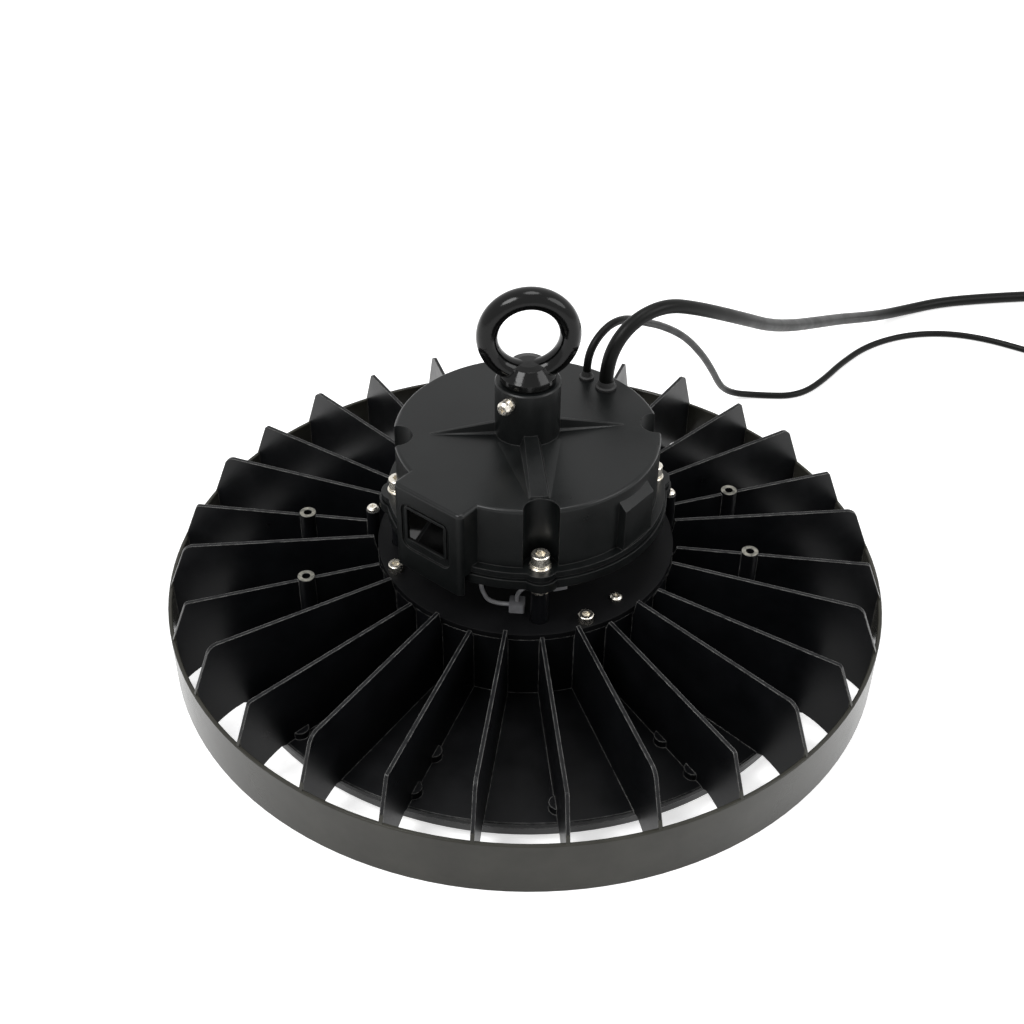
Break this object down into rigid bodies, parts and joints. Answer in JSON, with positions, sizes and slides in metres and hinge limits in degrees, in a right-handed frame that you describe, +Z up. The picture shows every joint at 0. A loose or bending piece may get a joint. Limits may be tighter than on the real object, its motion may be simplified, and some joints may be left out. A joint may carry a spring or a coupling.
{
  "type": "high bay light",
  "caption": "Round LED high bay light: a finned cast heat sink inside a hoop, a driver housing on pillars, an eye bolt to hang it from and two free leads.",
  "frame": {"origin": "on the light's own axis, in the plane of the outer hoop's lower edge, on which it rests", "axes": "+Z up through the eye bolt, -Y towards the viewer's side of the housing, +X to the side where the leads come out"},
  "size_m": [0.6431, 0.4612, 0.1871],
  "materials": {
    "board_green": "green solder mask",
    "board_white": "white solder mask on an aluminium board",
    "cable_black": "black sheath",
    "can_aluminium": "plain",
    "cast_black": "satin black powder coat on cast aluminium",
    "copper": "bare copper",
    "core_blue": "blue insulation",
    "core_brown": "brown insulation",
    "core_green": "green and yellow insulation",
    "core_grey": "grey insulation",
    "core_purple": "purple insulation",
    "eye_black": "gloss black coat on forged steel",
    "ferrite": "grey ferrite",
    "housing_black": "satin black powder coat on cast aluminium",
    "lead_grey": "light grey insulation",
    "led_yellow": "yellow phosphor",
    "lens_clear": "clear polycarbonate",
    "part_dark": "black moulded plastic",
    "plug_grey": "light grey nylon",
    "seal_rubber": "black silicone",
    "stainless": "bright stainless steel",
    "terminal_green": "green nylon",
    "winding_tape": "yellow tape over copper",
    "window_smoked": "smoked polycarbonate"
  },
  "bodies": {
    "root": {"board_screws": "stainless", "capacitors": "can_aluminium", "choke": "ferrite", "clamp_ring": "cast_black", "dimming_core_tips": "copper", "dimming_grommet": "seal_rubber", "dimming_lead": "cable_black", "dimming_lead_coil": "cable_black", "dimming_minus_core": "core_grey", "dimming_plus_core": "core_purple", "driver_board": "board_green", "driver_housing": "housing_black", "driver_screws": "stainless", "driver_standoffs": "stainless", "earth_screw": "stainless", "eye_bolt": "eye_black", "heat_sink": "cast_black", "housing_base": "housing_black", "housing_screws": "stainless", "housing_seal": "seal_rubber", "housing_spacers": "stainless", "housing_washers": "stainless", "hub_cover": "cast_black", "hub_screws": "stainless", "led_board": "board_white", "led_lead": "lead_grey", "led_lead_bush": "seal_rubber", "led_plug": "plug_grey", "led_socket": "plug_grey", "leds": "led_yellow", "lens": "lens_clear", "lens_gasket": "seal_rubber", "locking_screw": "stainless", "locking_washer": "stainless", "mains_core_tips": "copper", "mains_earth_core": "core_green", "mains_grommet": "seal_rubber", "mains_lead": "cable_black", "mains_lead_coil": "cable_black", "mains_live_core": "core_brown", "mains_neutral_core": "core_blue", "post_screws": "stainless", "ring_screws": "stainless", "selector_switch": "part_dark", "selector_window": "window_smoked", "spring_washers": "stainless", "terminal_block": "terminal_green", "transformer": "ferrite", "transformer_winding": "winding_tape"}
  },
  "joints": []
}
